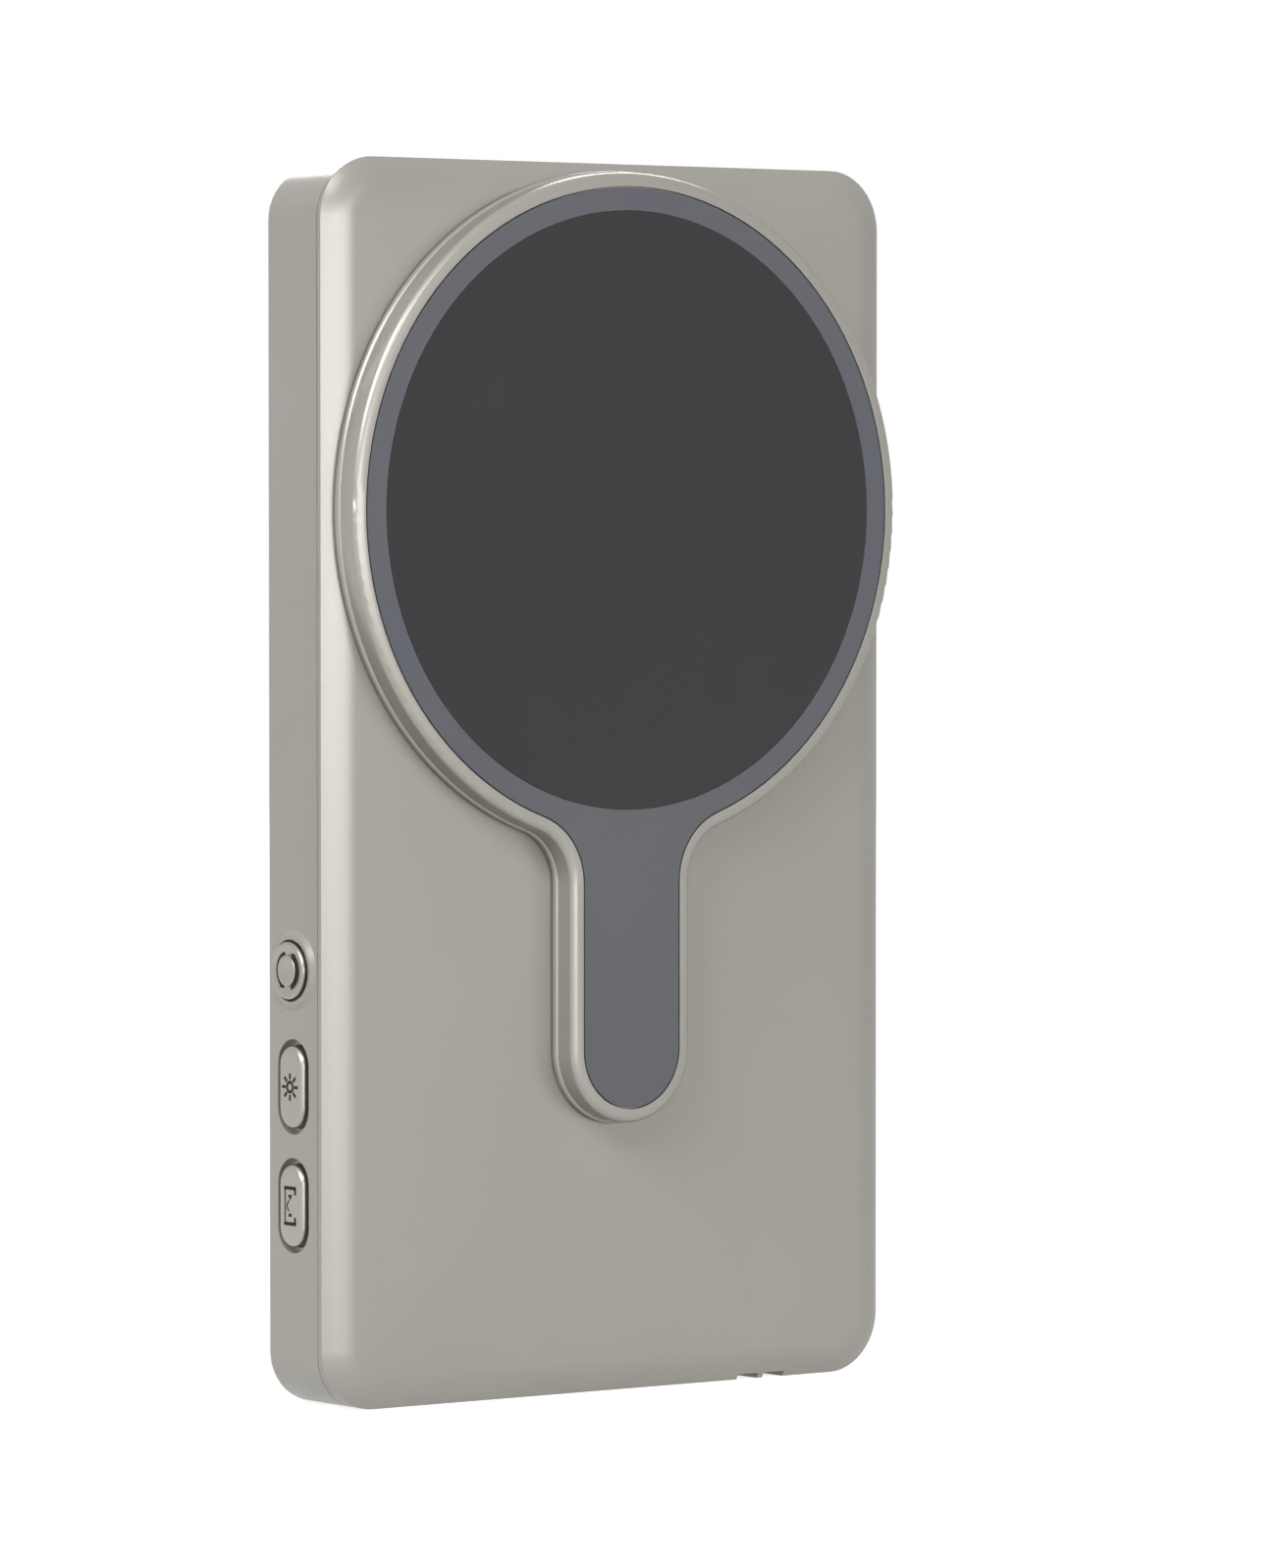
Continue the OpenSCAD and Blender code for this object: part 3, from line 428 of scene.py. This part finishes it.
@dataclass(frozen=True)
class StarScrew:
    """A countersunk screw with a six-lobed recess, set along Y with its head at the back.

    Attributes:
        head: Radius of the head.
        shank: Radius of the shank.
        sink: Height of the head's cone.
        segments: Corners of its rim and of the recess, four to each lobe.
        star: Radius of the recess, as a share of the head's.
        lobe: How far each corner of a lobe stands out, as a share of the recess's radius.
        star_depth: Depth of the recess, as a share of the cone's height.
        star_taper: Width of the recess's floor, as a share of its mouth's.
    """

    head: float
    shank: float
    sink: float
    segments: int = 24
    star: float = 0.56
    lobe: tuple[float, ...] = (1.0, 0.92, 0.72, 0.92)
    star_depth: float = 0.55
    star_taper: float = 0.96

    def add_to(self, mesh: bmesh.types.BMesh, foot: Vector, length: float) -> None:
        """Adds the screw to a mesh.

        Args:
            mesh: Mesh that gets the screw.
            foot: Middle of the flat of its head.
            length: Length over all.
        """
        rim, star = (bmesh.ops.create_circle(mesh, segments=self.segments, radius=radius)["verts"]
                     for radius in (self.head, self.star * self.head))
        for index, vert in enumerate(star):
            vert.co *= self.lobe[index % len(self.lobe)]
        rim_edges, star_edges = (list({edge for vert in ring for edge in vert.link_edges})
                                 for ring in (rim, star))
        bmesh.ops.bridge_loops(mesh, edges=rim_edges + star_edges)
        made = list(rim) + list(star)
        recess = ((self.star_depth * self.sink, self.star_taper),)
        outside = ((self.sink, self.shank / self.head), (length - self.sink, 1.0))
        for edges, steps in ((star_edges, recess), (rim_edges, outside)):
            for rise, scale in steps:
                grown = bmesh.ops.extrude_edge_only(mesh, edges=edges)["geom"]
                verts = [item for item in grown if isinstance(item, bmesh.types.BMVert)]
                edges = [item for item in grown if isinstance(item, bmesh.types.BMEdge)
                         and all(vert in verts for vert in item.verts)]
                bmesh.ops.translate(mesh, vec=(0, 0, rise), verts=verts)
                bmesh.ops.scale(mesh, vec=(scale, scale, 1.0), verts=verts)
                made += verts
            bmesh.ops.edgeloop_fill(mesh, edges=edges)
        place = Matrix(((1, 0, 0, foot.x), (0, 0, -1, foot.y), (0, 1, 0, foot.z), (0, 0, 0, 1)))
        bmesh.ops.transform(mesh, matrix=place, verts=made)


@dataclass
class Piecework:
    """What every sub-assembly shares."""

    finisher: Finisher

    def dress(self, finish: Finish, *nodes: str) -> None:
        """Gives carried-over nodes a finish.

        Args:
            finish: The finish.
            *nodes: Names of the nodes.
        """
        for name in nodes:
            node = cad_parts[name]
            node.data.materials.clear()
            node.data.materials.append(self.finisher.material(finish))
            log.info("dressed %s in %s", name, finish.name)

    def finished(self, mesh: bmesh.types.BMesh, name: str, body: str, slot: str,
                 finish: Finish, place: Matrix | None = None,
                 smooth: float = 35.0) -> bpy.types.Object:
        """Turns a new shape into a finished piece.

        Args:
            mesh: The shape, which is freed.
            name: Name of the piece.
            body: Body that carries it.
            slot: Material slot of the record. Not used.
            finish: Its finish.
            place: Where it goes, applied to the mesh.
            smooth: Angle in degrees above which an edge stays sharp.

        Returns:
            The piece.
        """
        bmesh.ops.remove_doubles(mesh, verts=mesh.verts, dist=WELD)
        if place is not None:
            bmesh.ops.transform(mesh, matrix=place, verts=mesh.verts)
        bmesh.ops.recalc_face_normals(mesh, faces=mesh.faces)
        return piece_from(mesh, name, body, self.finisher.material(finish), smooth)

    def smoothed(self, name: str, body: str, slot: str, finish: Finish,
                 smooth: float = 28.0) -> None:
        """Replaces a node by a merged, smoothly shaded copy of itself.

        Args:
            name: Name of the node.
            body: Body that carries it.
            slot: Material slot of the record. Not used.
            finish: Its finish.
            smooth: Angle in degrees above which an edge stays sharp.
        """
        mesh = bmesh.new()
        mesh.from_mesh(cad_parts[name].data)
        bmesh.ops.remove_doubles(mesh, verts=mesh.verts, dist=WELD)
        piece = piece_from(mesh, name + "_skin", body, self.finisher.material(finish),
                           smooth)
        even = piece.modifiers.new("even shading", "WEIGHTED_NORMAL")
        even.keep_sharp = True
        even.mode = "CORNER_ANGLE"
        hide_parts(name)

    def star_screws(self, name: str, node: str, body: str, screw: StarScrew, rows: int) -> None:
        """Replaces two columns of screws by ones with star recesses.

        Args:
            name: Name of the new piece.
            node: Node that it replaces, whose box the screws fill.
            body: Body that carries it.
            screw: The screw.
            rows: Screws in each column.
        """
        low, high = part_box(node)
        mesh = bmesh.new()
        for x in (low.x + screw.head, high.x - screw.head):
            for row in range(rows):
                share = row / (rows - 1)
                z = (low.z + screw.head) * (1 - share) + (high.z - screw.head) * share
                screw.add_to(mesh, Vector((x, high.y, z)), high.y - low.y)
        piece = self.finished(mesh, name, body, "steel", PLATED_SCREW)
        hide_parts(node)


@dataclass
class Slab(Piecework):
    """The two halves of the slab, what fastens them and what is inside."""

    screw: StarScrew = StarScrew(head=1.7 * MM, shank=0.8 * MM, sink=1.2 * MM)
    screw_rows: int = 3

    def build(self) -> None:
        """Dresses the slab's nodes."""
        self.smoothed("rear_housing", "slab", "satin_metal", SATIN_METAL)
        self.smoothed("front_cover", "slab", "satin_metal", SATIN_METAL)
        self.star_screws("housing_star_screws", "housing_screws", "slab", self.screw,
                         self.screw_rows)
        self.dress(STEEL, "slide_track", "track_screws", "board_screws", "usb_socket")
        self.dress(CONTACT, "contact_strips")
        self.dress(RUBBER, "travel_bumpers", "battery_pad")
        self.dress(POUCH, "battery_cell")
        self.dress(SOLDER_MASK, "main_board", "side_board")
        self.dress(DARK_PLASTIC, "board_parts", "brightness_switch", "mode_switch",
                   "dial_encoder")


@dataclass
class Controls(Piecework):
    """The dial and the two buttons, with their signs."""

    stroke: float = 0.37 * MM
    fine_stroke: float = 0.2 * MM
    sign_height: float = 0.05 * MM
    sign_lift: float = -0.03 * MM
    sun_ring: float = 0.6 * MM
    ray_start: float = 0.92 * MM
    ray_end: float = 1.65 * MM
    ray_count: int = 8
    sheet_width: float = 2.1 * MM
    sheet_height: float = 4.3 * MM
    sheet_bar: float = 1.15
    hook: float = 0.8 * MM
    mark_tip: float = 0.65 * MM
    mark_back: float = 1.35 * MM
    mark_half: float = 0.45 * MM
    bow_ring: float = 0.62 * MM
    bow_start: float = 110.0
    bow_sweep: float = 140.0
    dot_drop: float = 1.1 * MM
    dot_size: tuple[float, float] = (0.6 * MM, 0.4 * MM)
    arrow_ring: float = 2.15 * MM
    arrow_stroke: float = 0.46 * MM
    arrow_height: float = 0.16 * MM
    arrow_foot: float = -0.42 * MM
    arrow_starts: tuple[float, float] = (-72.0, 108.0)
    arrow_sweep: float = 122.0
    arrow_tip: float = 0.75 * MM
    arrow_root: float = 0.05 * MM
    arrow_half: float = 0.5 * MM

    def on_wall(self, node: str, lift: float) -> Matrix:
        """Gives the place of a sign drawn in X and Y on the left wall.

        Args:
            node: Node that carries the sign; the sign is centred on it.
            lift: How far the sign's foot stands out of the node's outer face.

        Returns:
            The matrix that puts the sign there.
        """
        low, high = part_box(node)
        middle = (low + high) / 2
        return Matrix(((0, 0, -1, low.x - lift), (-1, 0, 0, middle.y), (0, 1, 0, middle.z),
                       (0, 0, 0, 1)))

    def sun(self) -> None:
        """Builds the sun on the brightness button."""
        mesh = bmesh.new()
        arc_bar(mesh, self.sun_ring, self.stroke, self.sign_height, 0, 360)
        for ray in range(self.ray_count):
            block(mesh, ((self.ray_start + self.ray_end) / 2, 0, self.sign_height / 2),
                  (self.ray_end - self.ray_start, self.stroke, self.sign_height),
                  turn=ray * math.tau / self.ray_count)
        self.finished(mesh, "sun_sign", "brightness_key", "dark_plastic", INK,
                      self.on_wall("brightness_button", self.sign_lift))

    def sheet(self) -> None:
        """Builds the open frame with an arrowhead, an arc and a dot on the mode button."""
        mesh = bmesh.new()
        half_w, half_h, high = self.sheet_width / 2, self.sheet_height / 2, self.sign_height
        for side in (-1, 1):
            block(mesh, (0, side * half_h, high / 2),
                  (self.sheet_width + self.stroke, self.sheet_bar * self.stroke, high))
            block(mesh, (half_w, side * (half_h - self.hook / 2), high / 2),
                  (self.stroke, self.hook, high))
        block(mesh, (-half_w, 0, high / 2), (self.fine_stroke, self.sheet_height, high))
        wedge(mesh, (0, self.mark_tip), (0, self.mark_back), self.mark_half, high)
        arc_bar(mesh, self.bow_ring, self.fine_stroke, high, self.bow_start, self.bow_sweep)
        block(mesh, (0, -self.dot_drop, high / 2), (*self.dot_size, high))
        self.finished(mesh, "frame_sign", "mode_key", "dark_plastic", INK,
                      self.on_wall("mode_button", self.sign_lift))

    def arrows(self) -> None:
        """Builds the two curved arrows round the dial's raised middle."""
        mesh = bmesh.new()
        for start in self.arrow_starts:
            arc_bar(mesh, self.arrow_ring, self.arrow_stroke, self.arrow_height, start,
                    self.arrow_sweep)
            end = math.radians(start + self.arrow_sweep)
            middle = Vector((math.cos(end), math.sin(end))) * self.arrow_ring
            ahead = Vector((-math.sin(end), math.cos(end)))
            wedge(mesh, middle + ahead * self.arrow_tip, middle - ahead * self.arrow_root,
                  self.arrow_half, self.arrow_height)
        self.finished(mesh, "arrows_sign", "dial", "dark_plastic", INK,
                      self.on_wall("dial_cap", self.arrow_foot))

    def build(self) -> None:
        """Dresses the controls and adds their signs."""
        self.smoothed("brightness_button", "brightness_key", "satin_metal", KEY_METAL)
        self.smoothed("mode_button", "mode_key", "satin_metal", KEY_METAL)
        self.smoothed("dial_cap", "dial", "satin_metal", KEY_METAL)
        self.dress(STEEL, "dial_plunger")
        self.sun()
        self.sheet()
        self.arrows()


@dataclass
class Carriage(Piecework):
    """The block that slides in the slot."""

    def build(self) -> None:
        """Dresses the carriage's nodes."""
        self.smoothed("slide_carriage", "carriage", "steel", STEEL)
        self.dress(STEEL, "keeper_plate", "keeper_screws", "friction_spring")
        self.dress(CONTACT, "wiper_contacts")


@dataclass
class MirrorHead(Piecework):
    """The paddle: rim, back plate, window, glass and what lights it."""

    screw: StarScrew = StarScrew(head=1.1 * MM, shank=0.6 * MM, sink=0.6 * MM)
    screw_rows: int = 2
    rim_smooth: float = 60.0

    def build(self) -> None:
        """Dresses the head's nodes."""
        self.smoothed("head_frame", "mirror_head", "satin_metal", RIM_METAL,
                      self.rim_smooth)
        self.smoothed("head_back", "mirror_head", "satin_metal", RIM_METAL)
        self.smoothed("face_panel", "mirror_head", "panel", WINDOW)
        self.smoothed("mirror_glass", "mirror_head", "mirror", DARK_MIRROR)
        self.dress(RUBBER, "mirror_pad")
        self.dress(FROSTED, "light_guide")
        self.dress(SOLDER_MASK, "led_board")
        self.dress(PHOSPHOR, "ring_leds")
        self.star_screws("head_star_screws", "head_screws", "mirror_head", self.screw,
                         self.screw_rows)
        self.dress(STEEL, "hinge_pin")
        self.dress(CONTACT, "hinge_washers")


# ---- Studio ----


@dataclass(frozen=True)
class SoftBox:
    """A lamp with a rectangular face, turned towards the object.

    Attributes:
        name: Name of the lamp.
        place: Where it hangs.
        power: Its power in watts.
        width: Width of its face.
        height: Height of its face.
    """

    name: str
    place: tuple[float, float, float]
    power: float
    width: float
    height: float

    def hang(self, target: tuple[float, float, float]) -> None:
        """Adds the lamp to the scene.

        Args:
            target: Point that it faces.
        """
        data = bpy.data.lights.new(self.name, "AREA")
        data.shape = "RECTANGLE"
        data.energy = self.power
        data.size = self.width
        data.size_y = self.height
        item = bpy.data.objects.new(self.name, data)
        item.location = self.place
        aim = Vector(target) - Vector(self.place)
        item.rotation_euler = aim.to_track_quat("-Z", "Y").to_euler()
        bpy.context.scene.collection.objects.link(item)


@dataclass
class Studio:
    """Camera, lamps, world and floor."""

    camera_place: tuple[float, float, float] = (-0.58098, -0.78966, 0.10773)
    yaw: float = 36.79
    pitch: float = 1.96
    lens: float = 183.34
    sensor: float = 36.0
    farthest: float = 200.0
    floor_size: float = 60.0
    ambient: float = 0.12
    # Painted shade: the floor glows less near the object than far off.
    near_glow_painted_shade: float = 0.87
    far_glow: float = 0.98
    glow_start: float = 0.4
    glow_end: float = 3.0
    floor_tone: float = 0.35
    floor_roughness: float = 0.9
    middle: tuple[float, float, float] = (0, 0, 0.075)
    lamps: tuple[SoftBox, ...] = (
        SoftBox("front", (-0.25, -1.5, 0.165), 9.4, 1.75, 0.3),
        SoftBox("upper", (-1.15, -0.5, 1.0), 19.5, 0.6, 0.6),
        SoftBox("back", (0.9, 1.3, 0.8), 17.0, 1.0, 1.0),
        SoftBox("corner", (-0.5, -1.1, 1.1), 4.6, 0.45, 0.45))

    def camera(self) -> None:
        """Places the camera."""
        data = bpy.data.cameras.new("camera")
        data.lens = self.lens
        data.sensor_width = self.sensor
        data.sensor_fit = "AUTO"
        data.clip_end = self.farthest
        item = bpy.data.objects.new("camera", data)
        item.location = self.camera_place
        item.rotation_euler = (math.radians(90 - self.pitch), 0, -math.radians(self.yaw))
        bpy.context.scene.collection.objects.link(item)
        bpy.context.scene.camera = item

    def seen(self, tree: bpy.types.NodeTree) -> bpy.types.NodeSocket:
        """Gives a mask that is one for camera, mirror and see-through rays.

        Args:
            tree: Tree that gets the nodes.

        Returns:
            The socket with the mask.
        """
        ray = add_node(tree, "ShaderNodeLightPath").outputs
        either = add_node(tree, "ShaderNodeMath",
                          {0: ray["Is Camera Ray"], 1: ray["Is Glossy Ray"]},
                          operation="MAXIMUM")
        return add_node(tree, "ShaderNodeMath",
                        {0: either.outputs[0], 1: ray["Is Transmission Ray"]},
                        operation="MAXIMUM").outputs[0]

    def world(self) -> None:
        """Makes a world that is white to look at and lights the object dimly."""
        world = bpy.data.worlds.new("studio")
        world.use_nodes = True
        tree = world.node_tree
        level = add_node(tree, "ShaderNodeMapRange",
                         {"Value": self.seen(tree), "To Min": self.ambient, "To Max": 1.0})
        ground = tree.nodes["Background"]
        ground.inputs["Color"].default_value = (1, 1, 1, 1)
        tree.links.new(level.outputs[0], ground.inputs["Strength"])
        bpy.context.scene.world = world

    def floor(self) -> None:
        """Lays a wide pale floor that keeps the object's shadow, with painted shade: its glow
        dims towards the object.
        """
        mesh = bmesh.new()
        bmesh.ops.create_grid(mesh, x_segments=1, y_segments=1, size=self.floor_size)
        data = bpy.data.meshes.new("floor")
        mesh.to_mesh(data)
        mesh.free()
        material = bpy.data.materials.new("pale floor")
        material.use_nodes = True
        tree = material.node_tree
        matte = tree.nodes["Principled BSDF"]
        matte.inputs["Base Color"].default_value = (*3 * (self.floor_tone,), 1)
        matte.inputs["Roughness"].default_value = self.floor_roughness
        matte.inputs["Specular IOR Level"].default_value = 0.0
        glow = add_node(tree, "ShaderNodeEmission", {"Color": (1, 1, 1, 1)})
        # Painted shade: the glow is dimmer near the object than far off, which darkens the floor
        # round its foot and in the object's reflections.
        where = add_node(tree, "ShaderNodeTexCoord").outputs["Object"]
        away = add_node(tree, "ShaderNodeVectorMath", {0: where}, operation="LENGTH")
        share = add_node(tree, "ShaderNodeMapRange",
                         {"Value": away.outputs["Value"], "From Min": self.glow_start,
                          "From Max": self.glow_end, "To Min": self.near_glow_painted_shade,
                          "To Max": self.far_glow})
        level = add_node(tree, "ShaderNodeMath", {0: self.seen(tree), 1: share.outputs[0]},
                         operation="MULTIPLY")
        tree.links.new(level.outputs[0], glow.inputs["Strength"])
        both = add_node(tree, "ShaderNodeAddShader",
                        {0: matte.outputs[0], 1: glow.outputs[0]})
        tree.links.new(both.outputs[0], tree.nodes["Material Output"].inputs["Surface"])
        data.materials.append(material)
        item = bpy.data.objects.new("floor", data)
        bpy.context.scene.collection.objects.link(item)

    def build(self) -> None:
        """Sets up the whole studio."""
        bpy.context.scene.view_settings.view_transform = "Standard"
        self.camera()
        self.world()
        self.floor()
        for lamp in self.lamps:
            lamp.hang(self.middle)


def main() -> None:
    """Builds and dresses every part of the mirror."""
    logging.basicConfig(level=logging.INFO, format="%(message)s")
    Studio().build()
    finisher = Finisher()
    for part in (Slab, Controls, Carriage, MirrorHead):
        part(finisher).build()
        log.info("built %s", part.__name__)


if __name__ == "__main__":
    main()
